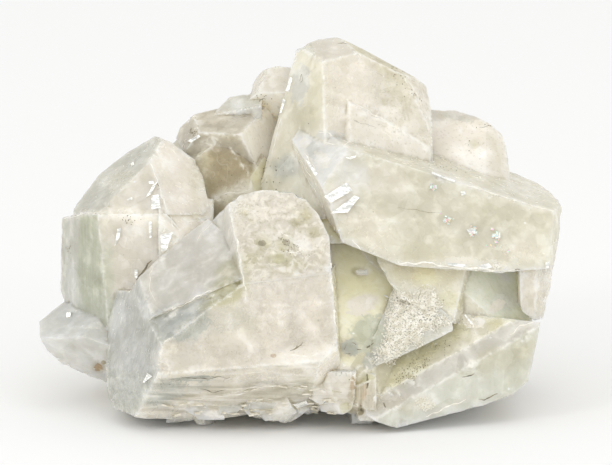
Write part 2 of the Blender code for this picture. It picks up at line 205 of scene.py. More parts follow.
def fine_mesh(facets):
    """Every facet cut into small, even triangles, with the facets' edges kept exactly. It gives
    the points, the triangles, each triangle's facet, and the points along each edge."""
    rng = np.random.default_rng(5)
    points = [np.array(vert.co) for vert in facets.verts]
    along = {}
    for edge in facets.edges:
        a, b = (np.array(vert.co) for vert in edge.verts)
        steps = max(1, round(edge.calc_length() / EDGE_STEP))
        along[edge.index] = list(range(len(points), len(points) + steps - 1))
        points.extend(a + (b - a) * k / steps for k in range(1, steps))
    triangles = []
    owners = []
    for face in facets.faces:
        normal = np.array(face.normal)
        side = np.cross(normal, (0.3, 0.5, 0.81))
        side /= np.linalg.norm(side)
        other = np.cross(normal, side)
        base = points[face.loops[0].vert.index]
        ring = []
        flat = []
        for loop in face.loops:
            run = along[loop.edge.index]
            run = run if loop.edge.verts[0] == loop.vert else run[::-1]
            run = [loop.vert.index, *run]
            ring.extend(run)
            start, end = points[loop.vert.index] - base, points[loop.link_loop_next.vert.index] - base
            x, y = start @ side, start @ other
            dx, dy = end @ side - x, end @ other - y
            for k in range(len(run)):
                share = k / len(run)
                bow = BULGE * share * (1.0 - share)
                flat.append((x + dx * share + dy * bow, y + dy * share - dx * bow))
        flat = np.array(flat)
        step = FRONT_STEP if face.normal.dot(INTO) < -0.1 else BACK_STEP
        dots = even_dots(flat, step, rng)
        known = list(ring)
        for x, y in dots:
            known.append(len(points))
            points.append(base + side * x + other * y)
        spots = np.concatenate([flat, dots]) / MICRON
        rows = [Vector(spot) for spot in spots]
        found = delaunay_2d_cdt(rows, [], [list(range(len(ring)))], 1, MICRON, True)
        centres = np.array([[sum(found[0][i].x for i in t), sum(found[0][i].y for i in t)] for t in found[2]])
        kept = inside(centres / 3, flat / MICRON)
        names = []
        for spot, source in zip(found[0], found[3]):
            if source:
                names.append(known[source[0]])
            else:
                names.append(len(points))
                points.append(base + (side * spot[0] + other * spot[1]) * MICRON)
        for triangle, is_kept in zip(found[2], kept):
            a, b, c = (names[i] for i in triangle)
            if not is_kept or len({a, b, c}) < 3:
                continue
            turn = np.dot(np.cross(points[b] - points[a], points[c] - points[a]), normal)
            triangles.append((a, b, c) if turn >= 0.0 else (a, c, b))
            owners.append(face.index)
    return np.array(points), np.array(triangles), np.array(owners), along


facets = merged_facets(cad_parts["datolite_crystals"])
points, triangles, owners, along = fine_mesh(facets)
facet_tree = BVHTree.FromBMesh(facets)
facet_normals = np.array([face.normal for face in facets.faces])
facet_middles = np.array([face.calc_center_median() for face in facets.faces])

ridges = set()
creases = set()
for edge in facets.edges:
    if len(edge.link_faces) == 2 and abs(edge.calc_face_angle_signed()) > SHARP:
        rows = ridges if edge.calc_face_angle_signed() > 0.0 else creases
        rows.update(along[edge.index])
        rows.update(vert.index for vert in edge.verts)
creases -= ridges


def picture_of(spots):
    """Where the picture shows these points: across and down in pixels, and depth in metres."""
    away = spots - np.array(MIDDLE)
    depth = away @ np.array(INTO)
    spread = PIXEL * (1.0 + depth / VIEW_DISTANCE)
    across = MIDDLE_PIXEL[0] + away @ np.array(ACROSS) / spread
    down = MIDDLE_PIXEL[1] - away @ np.array(UP) / spread
    return across, down, depth


def seen_at(tree, across, down):
    """The point, the normal and the face that the picture shows at these pixels."""
    towards = (place(across, down) - EYE).normalized()
    point, normal, index, _ = tree.ray_cast(EYE, towards)
    return point, normal, index


# The finish of each face
# Datolite is colourless to greenish: milky where it is full of tiny flaws, grey-green where it is
# clear. A face is glassy where it grew freely, and frosted where growth was rough or it dissolved.
# lime is lighter than the stone's own tones: on the faces and the patch in recesses and under overhangs where it is
# used, it is painted light that makes up for the shade there
HUES = {
    "snow": "F4EFE4", "milk": "EBE4D7", "cream": "E0DACC", "bone": "D4CDBF", "fawn": "C7BFAD",
    "umber": "A39472", "ice": "E8E7E2", "silver": "D7D7D2", "ash": "CACAC4", "smoke": "BEBFB6",
    "chalk": "DEDAD1", "pearl": "C8C6B8", "lilac": "CAC6BB", "butter": "E4DFCA", "straw": "DAD5C0",
    "lime": "F2EDCC", "lichen": "D7D1AE", "honey": "CCC5A8", "olive": "C2BD98", "celadon": "DDDDCE",
    "sage": "C5C7B1", "rust": "A98A62", "slate": "A9ADA6", "soil": "857C62", "mint": "F3F6E6",
}
# Each face: where the picture shows it, its hue, how frosted, how milky, and how strongly it is
# lined: upright where the number is above nought, in level layers where it is below
FACES = [
    (285, 225, "bone", 0.9, 0.9, 0.0), (200, 245, "chalk", 0.2, 0.55, 0.1),
    (185, 285, "chalk", 0.15, 0.5, 0.0), (165, 330, "smoke", 0.3, 0.6, 0.0),
    (125, 350, "ash", 0.3, 0.6, 0.3), (230, 395, "cream", 0.45, 0.7, -1.0),
    (224, 235, "chalk", 0.2, 0.6, 0.3), (334, 320, "bone", 0.4, 0.8, 0.0),
    (326, 370, "milk", 0.4, 0.8, 0.0), (140, 192, "cream", 0.15, 0.7, 0.0),
    (185, 190, "milk", 0.3, 0.8, 0.2), (150, 148, "pearl", 0.3, 0.7, 0.0),
    (140, 240, "cream", 0.15, 0.7, 0.1), (88, 270, "sage", 0.2, 0.5, 0.2),
    (65, 265, "pearl", 0.2, 0.6, 0.15), (75, 322, "silver", 0.15, 0.5, 0.0),
    (100, 345, "ice", 0.2, 0.5, 0.0), (355, 85, "cream", 0.4, 0.8, 0.0),
    (342, 46, "cream", 0.3, 0.7, 0.0), (385, 63, "honey", 0.8, 0.9, 0.0),
    (416, 95, "cream", 0.8, 0.9, 0.0), (370, 137, "cream", 0.6, 0.9, 0.0),
    (490, 148, "cream", 0.6, 0.9, 0.0), (460, 148, "milk", 0.6, 0.9, 0.0),
    (270, 84, "cream", 0.5, 0.8, 0.0), (270, 99, "snow", 0.6, 0.9, 0.0),
    (236, 104, "pearl", 0.5, 0.8, 0.0), (215, 122, "fawn", 0.5, 0.7, 0.0),
    (222, 143, "fawn", 0.6, 0.7, 0.0), (184, 137, "fawn", 0.3, 0.7, 0.0),
    (250, 125, "snow", 0.5, 0.9, 0.2), (222, 170, "umber", 0.7, 0.9, 0.0),
    (255, 165, "umber", 0.6, 0.9, 0.2), (440, 165, "straw", 0.3, 0.8, 0.0),
    (420, 195, "straw", 0.12, 0.7, 0.0), (430, 245, "straw", 0.25, 0.7, 0.0),
    (325, 160, "ice", 0.15, 0.7, 0.0), (305, 185, "butter", 0.2, 0.8, 0.0),
    (556, 230, "straw", 0.3, 0.8, 0.0), (365, 328, "lime", 0.2, 0.9, 0.0),
    (425, 278, "butter", 0.35, 0.9, 0.0), (410, 325, "pearl", 0.5, 0.95, 0.0),
    (490, 290, "mint", 0.25, 0.9, 0.2), (528, 290, "bone", 0.5, 0.8, 0.3),
    (545, 290, "cream", 0.4, 0.8, 0.2), (415, 350, "lichen", 0.4, 0.8, 0.0),
    (455, 365, "lilac", 0.2, 0.7, 0.0), (495, 365, "celadon", 0.15, 0.6, 0.1),
    (357, 400, "fawn", 0.7, 0.8, 0.5), (198, 412, "ice", 0.2, 0.5, 0.0),
    (188, 222, "milk", 0.3, 0.9, 0.0), (330, 228, "lime", 0.3, 0.9, 0.0),
    (128, 388, "smoke", 0.4, 0.7, -0.4), (342, 388, "bone", 0.5, 0.8, -0.3),
    # Painted light: the snow face at (316, 190) lies in a shadowed gap beside the nose, and its light hue makes up
    # for the shade
    (316, 190, "snow", 0.3, 0.9, 0.0), (372, 364, "honey", 0.3, 0.8, 0.0),
    (450, 114, "bone", 0.6, 0.8, 0.0), (98, 332, "silver", 0.2, 0.5, 0.0),
    (472, 306, "straw", 0.4, 0.9, 0.0), (336, 306, "butter", 0.3, 0.8, 0.0),
    (258, 176, "lime", 0.5, 0.8, 0.0), (460, 300, "straw", 0.4, 0.9, 0.0),
    (366, 378, "olive", 0.6, 0.8, 0.2), (280, 406, "milk", 0.4, 0.8, -0.8),
    (328, 402, "milk", 0.5, 0.8, -0.6), (284, 416, "snow", 0.4, 0.8, -0.8),
    (320, 396, "milk", 0.5, 0.8, -0.5), (210, 412, "milk", 0.4, 0.8, -0.6),
    (230, 408, "silver", 0.4, 0.7, -0.8), (344, 366, "milk", 0.5, 0.9, 0.0),
    (518, 280, "snow", 0.5, 0.9, 0.0), (346, 122, "cream", 0.6, 0.9, 0.0),
    (412, 136, "cream", 0.6, 0.9, 0.0),
]
OTHER_FACES = [
    ("cream", 0.4, 0.8, 0.0), ("chalk", 0.2, 0.6, 0.2), ("straw", 0.3, 0.7, 0.0),
    ("bone", 0.8, 0.9, 0.0), ("silver", 0.2, 0.6, 0.3), ("straw", 0.2, 0.6, 0.1),
    ("pearl", 0.5, 0.8, 0.0), ("cream", 0.6, 0.9, 0.0),
]
SAME_PLANE = (math.cos(math.radians(1.2)), 0.15 * MM)


def same_plane(point, normal):
    """The facets that lie in one plane with this point."""
    turned, off = SAME_PLANE
    point, normal = np.array(point), np.array(normal)
    level = np.abs((facet_middles - point) @ normal) < off
    return np.flatnonzero(level & (facet_normals @ normal > turned))


looks = np.full((len(facets.faces), 6), np.nan)
for across, down, hue, *finish in FACES:
    point, normal, index = seen_at(facet_tree, across, down)
    if index is None:
        continue
    looks[same_plane(point, normal)] = (*linear(HUES[hue]), *finish)
    looks[index] = (*linear(HUES[hue]), *finish)
picker = random.Random(23)
for index, look in enumerate(looks):
    if np.isnan(look[0]):
        hue, *finish = picker.choice(OTHER_FACES)
        level = same_plane(facet_middles[index], facet_normals[index])
        free = [i for i in {*level, index} if np.isnan(looks[i, 0])]
        looks[free] = (*linear(HUES[hue]), *finish)

# Steps, pits and chips
# Rough faces are pitted and lumpy, and every sharp edge of so brittle a stone has lost small
# flakes. All of it is taken out of the flat faces, and nothing stands proud of them.
CHIPS = 420
FOOT_LEVEL = 0.25 * MM
PITS = [
    (262, 241, 1.5, 0.7), (286, 241, 1.7, 0.6), (278, 257, 2.2, 0.7), (295, 222, 1.2, 0.5),
    (253, 218, 1.0, 0.4), (306, 214, 1.0, 0.4), (300, 262, 1.2, 0.4), (384, 101, 0.7, 0.4),
    (358, 270, 1.2, 0.3), (312, 232, 1.3, 0.4), (244, 212, 0.8, 0.3), (474, 142, 1.1, 0.4),
]

vertex_count = len(points)
corner_points = triangles.ravel()
corner_facets = np.repeat(owners, 3)
outward = np.zeros((vertex_count, 3))
np.add.at(outward, corner_points, facet_normals[corner_facets])
outward /= np.maximum(np.linalg.norm(outward, axis=1, keepdims=True), 1e-9)
shares = np.bincount(corner_points, minlength=vertex_count)
frost_at = np.bincount(corner_points, looks[corner_facets, 3], vertex_count) / np.maximum(shares, 1)
standing = points[:, 2] > FOOT_LEVEL

lumps = np.array([noise.fractal(Vector(p) / (1.5 * MM), 0.7, 2.1, 3) for p in points])
swell = np.array([noise.noise(Vector(p) / (5.0 * MM)) for p in points])
roughness = np.clip(frost_at - 0.35, 0.0, 1.0)
sink = roughness * 0.30 * MM * np.clip(lumps + 0.25, 0.0, 1.0) + 0.05 * MM * np.clip(swell, 0, 1)

worn = np.zeros(vertex_count)
worn[list(ridges)] = 1.0
sink += worn * 0.07 * MM * np.clip(0.6 + lumps, 0.0, 1.0)

hollow = np.zeros(vertex_count)
for across, down, width, depth in PITS:
    spot, _, _ = seen_at(facet_tree, across, down)
    far = np.linalg.norm(points - np.array(spot), axis=1) / (width * MM)
    dip = np.clip(1.0 - far**2 + 0.5 * lumps, 0.0, 1.0)
    sink += dip * depth * MM
    hollow = np.maximum(hollow, dip)

fine = points - outward * (sink * standing)[:, None]

chipper = random.Random(41)
chippable = [
    edge for edge in facets.edges
    if len(edge.link_faces) == 2 and edge.calc_face_angle_signed() > SHARP
    and min(vert.co.z for vert in edge.verts) > 2 * FOOT_LEVEL
]
lengths = [edge.calc_length() for edge in chippable]
chipped = np.zeros(vertex_count)
for edge in chipper.choices(chippable, weights=lengths, k=CHIPS):
    start, end = (vert.co for vert in edge.verts)
    site = start.lerp(end, chipper.random())
    normal = (edge.link_faces[0].normal + edge.link_faces[1].normal).normalized()
    tilt = Vector([chipper.gauss(0.0, 0.28) for _ in range(3)])
    normal = np.array((normal + tilt).normalized())
    depth = chipper.uniform(0.05, 0.30) ** 1.3 * MM
    reach = chipper.uniform(0.6, 1.9) * MM
    away = fine - np.array(site)
    over = away @ normal + depth
    near = (np.linalg.norm(away, axis=1) < reach) & (over > 0.0) & (outward @ normal > 0.2)
    near &= standing
    fine[near] -= normal * over[near, None]
    chipped[near] = np.maximum(chipped[near], np.clip(over[near] / (0.25 * MM), 0.3, 1.0))

flat_normals = facet_normals[owners]
for _ in range(6):
    sides = fine[triangles[:, 1]] - fine[triangles[:, 0]], fine[triangles[:, 2]] - fine[triangles[:, 0]]
    faced = np.cross(*sides)
    faced /= np.maximum(np.linalg.norm(faced, axis=1, keepdims=True), 1e-20)
    turned = np.unique(triangles[(faced * flat_normals).sum(axis=1) < 0.25])
    fine[turned] = points[turned]

# Tints, veils and patches
# The colour is uneven inside the stone: olive where it is clear and deep, white where flaws veil
# it. Each patch is where the picture shows it: its size in pixels, its turn, its hue, its strength
# and what it adds to the frost and to the milk.
# A few of the patches are painted light, as marked below.
PATCHES = [
    (172, 325, 34, 18, -8, "smoke", 0.7, 0.0, -0.1),
    (228, 290, 26, 13, -25, "olive", 0.7, 0.0, -0.1), (236, 322, 22, 16, 0, "straw", 0.4, 0.0, 0.0),
    (180, 360, 26, 12, 0, "lilac", 0.6, 0.1, 0.2), (300, 355, 34, 10, -6, "snow", 0.5, 0.1, 0.1),
    (240, 262, 16, 10, -20, "olive", 0.6, 0, -0.1),
    (235, 340, 30, 9, 0, "cream", 0.5, 0.1, 0.1), (205, 268, 20, 12, -25, "fawn", 0.3, 0.0, 0.0),
    (220, 392, 60, 7, -3, "umber", 0.35, 0.2, 0.1), (255, 402, 40, 6, -5, "honey", 0.3, 0.1, 0.0),
    (160, 392, 18, 12, -30, "smoke", 0.7, 0.0, -0.1), (300, 385, 26, 8, -5, "olive", 0.3, 0.1, 0.0),
    (105, 285, 8, 40, 0, "sage", 0.8, 0.0, -0.1), (72, 290, 8, 26, 0, "ash", 0.6, 0.0, 0.1),
    # Painted highlight: the snow patch at (150, 225) is a soft halo between two bright steps
    (130, 215, 26, 7, 5, "snow", 0.8, 0.2, 0.2), (150, 225, 14, 10, 0, "snow", 0.9, 0.0, 0.1),
    (200, 175, 8, 26, 10, "honey", 0.5, 0.1, 0.0), (120, 180, 16, 10, -35, "straw", 0.5, 0.1, 0.0),
    # Painted shade: the bone patch at (335, 120) dims a softbox's reflection on that face
    (305, 118, 14, 16, 0, "honey", 0.6, 0.0, -0.1), (335, 120, 14, 9, 0, "bone", 0.5, 0.0, 0.1), (352, 86, 18, 20, 0, "milk", 0.5, 0.0, 0.1),
    (400, 110, 18, 30, 15, "cream", 0.7, 0.4, 0.1), (384, 68, 18, 5, 25, "umber", 0.4, 0.3, 0.0),
    (350, 145, 20, 6, 20, "honey", 0.5, 0.0, 0.0), (470, 150, 20, 8, 10, "snow", 0.6, 0.2, 0.1),
    (380, 178, 30, 14, 12, "cream", 0.6, 0.0, 0.1), (495, 215, 40, 14, 14, "olive", 0.2, 0, 0),
    (435, 250, 34, 8, 8, "olive", 0.12, 0.0, 0.0), (365, 225, 26, 16, 10, "bone", 0.4, 0.1, 0.2),
    (525, 250, 22, 10, 0, "cream", 0.5, 0.2, 0.2), (470, 262, 40, 5, 4, "snow", 0.7, 0.3, 0.2),
    (385, 255, 18, 5, 30, "cream", 0.7, 0.2, 0.1), (449, 299, 14, 10, 0, "olive", 0.8, 0.0, 0.0),
    (362, 303, 15, 10, -10, "cream", 0.9, 0.1, 0.3), (348, 345, 12, 10, 0, "umber", 0.6, 0.1, 0),
    (362, 271, 7, 4, 0, "snow", 0.9, 0.1, 0.3), (372, 330, 18, 16, -30, "sage", 0.6, 0.0, 0.0),
    (505, 300, 14, 10, 0, "ash", 0.6, 0.0, 0.1), (470, 320, 8, 6, 0, "snow", 0.8, 0.1, 0.3),
    (425, 402, 12, 8, 0, "snow", 0.8, 0.2, 0.3), (460, 345, 40, 9, -32, "lilac", 0.5, 0.1, 0.1),
    (395, 402, 18, 10, 10, "fawn", 0.5, 0.2, 0.1), (97, 367, 6, 5, 0, "umber", 0.8, 0.2, 0.2),
    (284, 167, 14, 12, 0, "smoke", 0.9, 0.1, 0.0), (240, 190, 26, 10, -20, "straw", 0.6, 0.1, 0.1),
    (350, 172, 16, 18, 20, "ice", 0.7, 0.0, 0.0), (318, 55, 10, 5, -30, "fawn", 0.6, 0.0, 0.0),
    (240, 164, 30, 12, 0, "soil", 0.15, 0.0, 0.0), (215, 118, 16, 10, 0, "fawn", 0.5, 0.0, 0.0),
    (425, 276, 14, 10, 0, "lime", 0.8, 0.0, 0.1), (357, 400, 8, 14, 0, "umber", 0.4, 0.0, 0.0),
    (500, 357, 34, 12, -20, "honey", 0.5, 0.0, 0.0), (236, 102, 6, 5, 0, "ice", 0.8, 0.0, 0.0),
    (448, 118, 12, 4, 20, "fawn", 0.6, 0.0, 0.0), (312, 310, 12, 24, 0, "milk", 0.6, 0.0, 0.0),
    (200, 410, 8, 5, 0, "ash", 0.8, 0.0, 0.0), (208, 227, 9, 6, -30, "ice", 0.8, 0.0, 0.1),
    (226, 268, 12, 8, -20, "olive", 0.5, 0.0, 0.0), (162, 284, 10, 14, 0, "silver", 0.4, 0.0, 0.1),
    (330, 150, 30, 12, 0, "ice", 0.6, 0.0, 0.0), (340, 205, 12, 20, -30, "milk", 0.6, 0.0, 0.1),
    # Painted highlights: the three snow patches from here on are soft halos around bright steps
    (166, 241, 9, 12, 10, "snow", 0.8, 0.0, 0.1), (155, 203, 7, 11, 0, "snow", 0.7, 0.0, 0.1),
    (340, 192, 18, 10, -25, "snow", 0.5, 0.0, 0.1),
]
SPREAD_STEPS = 6
SPREAD_SHARE = 0.55
corner_tints = looks[corner_facets, :3]
corner_frost = looks[corner_facets, 3]
corner_milk = looks[corner_facets, 4]
faces_eye = (facet_normals @ np.array(-INTO) > 0.05)[corner_facets]
pixels_across, pixels_down, depths = picture_of(points)
ragged = np.array([noise.fractal(Vector(p) / (2.6 * MM) + Vector((7, 3, 1)), 0.8, 2.0, 3) for p in points])
for across, down, half_width, half_height, turn, hue, strength, more_frost, more_milk in PATCHES:
    spot, _, index = seen_at(facet_tree, across, down)
    if index is None:
        continue
    spot_depth = (spot - MIDDLE).dot(INTO)
    turn = math.radians(turn)
    right = (pixels_across - across) * math.cos(turn) + (pixels_down - down) * math.sin(turn)
    below = (pixels_down - down) * math.cos(turn) - (pixels_across - across) * math.sin(turn)
    far = np.hypot(right / half_width, below / half_height) + 0.45 * ragged
    share = np.clip((1.25 - far) / 0.5, 0.0, 1.0) * (np.abs(depths - spot_depth) < 5 * MM)
    share = share[corner_points] * faces_eye
    corner_tints += (np.array(linear(HUES[hue])) - corner_tints) * (share * strength)[:, None]
    corner_frost += share * more_frost
    corner_milk += share * more_milk
pit_share = hollow[corner_points]
corner_tints += (np.array(linear(HUES["olive"])) - corner_tints) * (0.8 * pit_share)[:, None]

# Light spreads within the stone, so the faces' looks run into each other a little along the edges
own_looks = np.column_stack([corner_tints, corner_frost, corner_milk])
spread_looks = np.zeros((vertex_count, own_looks.shape[1]))
corner_means = own_looks
for _ in range(SPREAD_STEPS):
    spread_looks[:] = 0.0
    np.add.at(spread_looks, corner_points, corner_means)
    spread_looks /= np.maximum(shares, 1)[:, None]
    corner_means = np.repeat(spread_looks[triangles].mean(axis=1), 3, axis=0)
mixed_looks = own_looks + (spread_looks[corner_points] - own_looks) * SPREAD_SHARE
corner_tints, corner_frost, corner_milk = mixed_looks[:, :3], mixed_looks[:, 3], mixed_looks[:, 4]

# Healed cracks and bruised edges, each as its course through the picture and its width in
# millimetres: the stone is whiter along both sides of them. Along edges that catch the light, the
# lines and this whitening are partly painted highlight.
WHITE_LINES = [
    ([(229, 206), (236, 240), (242, 275), (246, 300)], 0.36),
    ([(214, 288), (196, 297), (180, 305), (164, 312)], 0.45),
    ([(352, 240), (362, 252), (374, 264), (386, 274)], 0.40),
    ([(431, 171), (470, 186), (510, 199), (555, 212)], 0.35),
    ([(330, 240), (331, 275), (334, 310), (337, 345)], 0.55),
    ([(186, 222), (196, 219), (207, 216)], 0.35),
    ([(295, 143), (298, 158), (306, 176), (318, 196)], 0.40),
    ([(304, 152), (312, 164), (317, 176)], 0.35), ([(300, 160), (306, 170), (311, 178)], 0.6),
    ([(324, 142), (332, 144), (339, 143)], 0.35), ([(343, 144), (350, 140)], 0.3),
    ([(318, 131), (326, 132), (333, 135)], 0.3), ([(280, 232), (295, 240), (308, 250)], 0.4),
    ([(284, 250), (294, 252), (302, 249)], 0.4), ([(233, 212), (244, 208), (256, 210)], 0.3),
    ([(168, 214), (172, 224), (176, 230)], 0.35),
    ([(150, 160), (158, 184), (166, 210)], 0.30),
    ([(398, 263), (425, 262), (450, 266), (490, 270), (520, 270)], 0.60),
    ([(460, 313), (470, 322), (476, 334)], 0.45),
    ([(534, 321), (520, 326), (508, 336)], 0.30),
    ([(425, 416), (450, 405), (468, 398)], 0.35),
    ([(355, 103), (375, 115), (396, 126)], 0.40),
    ([(404, 74), (415, 92), (426, 112)], 0.35),
    ([(281, 117), (276, 138), (270, 158)], 0.30),
    ([(213, 196), (232, 192), (252, 190), (280, 191)], 0.35),
    ([(282, 355), (305, 356), (330, 350)], 0.35),
    ([(232, 392), (262, 385), (300, 383)], 0.30),
    ([(190, 400), (225, 396), (262, 388)], 0.28),
    ([(153, 262), (149, 275), (150, 290), (156, 303)], 0.12), ([(196, 240), (203, 230), (212, 222)], 0.12),
    ([(118, 152), (106, 163), (94, 178)], 0.30),
    ([(64, 218), (82, 214), (100, 212)], 0.30),
]
WHITE_LINE_REACH = 2.4
WHITE_LINE_SHARE = 0.5
bruise_and_edge_light = np.zeros(vertex_count)
for route, _ in WHITE_LINES:
    for (x1, y1), (x2, y2) in zip(route, route[1:]):
        spot = seen_at(facet_tree, (x1 + x2) / 2, (y1 + y2) / 2)[0]
        if spot is None:
            continue
        run_across, run_down = x2 - x1, y2 - y1
        share = (pixels_across - x1) * run_across + (pixels_down - y1) * run_down
        share = np.clip(share / (run_across**2 + run_down**2), 0.0, 1.0)
        off_across = pixels_across - x1 - run_across * share
        off_down = pixels_down - y1 - run_down * share
        near = np.abs(depths - (spot - MIDDLE).dot(INTO)) < 3 * MM
        reached = np.clip(1.4 - np.hypot(off_across, off_down) / WHITE_LINE_REACH + 0.4 * ragged, 0.0, 1.0)
        bruise_and_edge_light = np.maximum(bruise_and_edge_light, reached * near)
# The tint whitened beside each white line: bruised stone, and in part painted highlight
bruise_and_edge_light_share = bruise_and_edge_light[corner_points] * faces_eye * WHITE_LINE_SHARE
corner_tints = corner_tints + (np.array(linear(HUES["snow"])) - corner_tints) * bruise_and_edge_light_share[:, None]

stone_mesh = bpy.data.meshes.new("datolite")
stone_mesh.from_pydata(fine.tolist(), [], triangles.tolist())


def paint(mesh, name, values):
    """Stores one number for each corner of each triangle."""
    layer = mesh.attributes.new(name, "FLOAT", "CORNER")
    layer.data.foreach_set("value", np.asarray(values, np.float32))


opaque = np.ones((len(corner_tints), 1))
tint_layer = stone_mesh.attributes.new("tint", "FLOAT_COLOR", "CORNER")
tint_layer.data.foreach_set("color", np.hstack([corner_tints, opaque]).astype(np.float32).ravel())
paint(stone_mesh, "frost", np.clip(corner_frost, 0.0, 1.0))
paint(stone_mesh, "milk", np.clip(corner_milk, 0.0, 1.0))
paint(stone_mesh, "striae", looks[corner_facets, 5])
# Ridges and chips painted whiter: partly worn, bruised stone, partly painted highlight where edges catch the light
wear_and_edge_light_at = np.maximum(worn * 0.8, chipped)
paint(stone_mesh, "wear_and_edge_light", wear_and_edge_light_at[corner_points])
# Concave creases, to be darkened by painted shade
crease_shade_at = np.zeros(vertex_count)
crease_shade_at[list(creases)] = 1.0
paint(stone_mesh, "crease_shade", crease_shade_at[corner_points])

# The stone
# Datolite, a borosilicate with a glassy lustre and an index near 1.65. Light goes into it and comes
# back milky, greenish in the clear parts, with soft veils, growth blocks and grains of dark dust.
CLOUD_SIZE = 6.5 * MM
BLOCK_SIZE = 5.5 * MM
VEIL_SIZE = 2.4 * MM
FLECK_SIZE = 1.1 * MM
CRUMB_SIZE = 1.6 * MM
GLINT_SPACING = 2.8 * MM
SHARD_SIZE = 1.3 * MM
GRAIN_SIZE = 0.40 * MM
STRIA_SIZE = 0.45 * MM
LAYER_SIZE = 0.90 * MM
SPECK_SPACING = 2.6 * MM
SHARD_TILT = 0.10
RELIEF = 0.12 * MM
DATOLITE_INDEX = 1.65


def tree_of(*values):
    """The node tree that these outputs belong to. Plain numbers among them are passed over."""
    return next(value.id_data for value in values if isinstance(value, bpy.types.NodeSocket))


def maths(operation, first, second=0.5):
    inputs = {0: first, 1: second}
    return add(tree_of(first, second), "ShaderNodeMath", inputs, operation=operation).outputs[0]


def between(value, low, high, to_low=0.0, to_high=1.0):
    """The value's run from low to high, stretched to run from to_low to to_high."""
    inputs = {"Value": value, "From Min": low, "From Max": high, "To Min": to_low, "To Max": to_high}
    node = add(value.id_data, "ShaderNodeMapRange", inputs, interpolation_type="SMOOTHSTEP")
    return node.outputs[0]


def mixed(share, first, second, blend="MIX"):
    """Two colours mixed. A colour is another node's output, or a hex code."""
    first, second = ((*linear(c), 1.0) if isinstance(c, str) else c for c in (first, second))
    inputs = {0: share, 6: first, 7: second}
    settings = {"data_type": "RGBA", "blend_type": blend}
    return add(tree_of(share, first, second), "ShaderNodeMix", inputs, **settings).outputs[2]


def turned_spot(where, stretch=(1.0, 1.0, 1.0), turn=(0.0, 0.0, 0.0)):
    inputs = {"Vector": where, "Scale": stretch, "Rotation": turn}
    return add(where.id_data, "ShaderNodeMapping", inputs).outputs[0]


def mottle(where, size, detail=3.0, distortion=0.0):
    """Noise whose lumps have this real size."""
    inputs = {"Vector": where, "Scale": 1.0 / size, "Detail": detail, "Distortion": distortion}
    return add(where.id_data, "ShaderNodeTexNoise", inputs).outputs["Fac"]


stone = bpy.data.materials.new("datolite_stone")
stone.use_nodes = True
tree = stone.node_tree
shader = tree.nodes["Principled BSDF"]
where = add(tree, "ShaderNodeTexCoord").outputs["Object"]
colour = add(tree, "ShaderNodeAttribute", attribute_name="tint").outputs["Color"]
frost, milk, wear_and_edge_light, crease_shade, striae = (
    add(tree, "ShaderNodeAttribute", attribute_name=name).outputs["Fac"]
    for name in ("frost", "milk", "wear_and_edge_light", "crease_shade", "striae")
)
cloud = mottle(where, CLOUD_SIZE, 3.0, 0.2)
veil = mottle(where, VEIL_SIZE, 3.0, 0.3)
fleck = mottle(where, FLECK_SIZE, 3.0, 0.8)
grain = mottle(where, GRAIN_SIZE, 2.0)
upright = mottle(turned_spot(where, (1.0, 1.0, 0.09), (0.0, 0.12, 0.0)), STRIA_SIZE, 2.0, 0.2)
level = mottle(turned_spot(where, (0.10, 0.6, 1.0), (0.0, -0.06, 0.0)), LAYER_SIZE, 3.0, 0.9)
lined = maths("MAXIMUM", striae, 0.0)
layered = maths("MAXIMUM", maths("MULTIPLY", striae, -1.0), 0.0)
seams = maths("ABSOLUTE", maths("SUBTRACT", mottle(where, BLOCK_SIZE, 2.0, 0.6), 0.5))

# Growth blocks: cells with straight sides, each a shade apart from the next
inputs = {"Vector": turned_spot(where, turn=(0.3, 0.5, 0.4)), "Scale": 1.0 / BLOCK_SIZE}
blocks = add(tree, "ShaderNodeTexVoronoi", inputs, distance="CHEBYCHEV").outputs["Color"]
block = add(tree, "ShaderNodeSeparateColor", {"Color": blocks}).outputs["Red"]

# Fracture: small flat cells, each tilted its own way, so that some of them flash
inputs = {"Vector": where, "Scale": 1.0 / SHARD_SIZE}
shards = add(tree, "ShaderNodeTexVoronoi", inputs)
inputs = {0: where, 1: shards.outputs["Position"]}
offset = add(tree, "ShaderNodeVectorMath", inputs, operation="SUBTRACT").outputs[0]
inputs = {0: shards.outputs["Color"], 1: (0.5, 0.5, 0.5)}
lean = add(tree, "ShaderNodeVectorMath", inputs, operation="SUBTRACT").outputs[0]
rise = add(tree, "ShaderNodeVectorMath", {0: offset, 1: lean}, operation="DOT_PRODUCT").outputs["Value"]
shard = add(tree, "ShaderNodeSeparateColor", {"Color": shards.outputs["Color"]}).outputs["Red"]

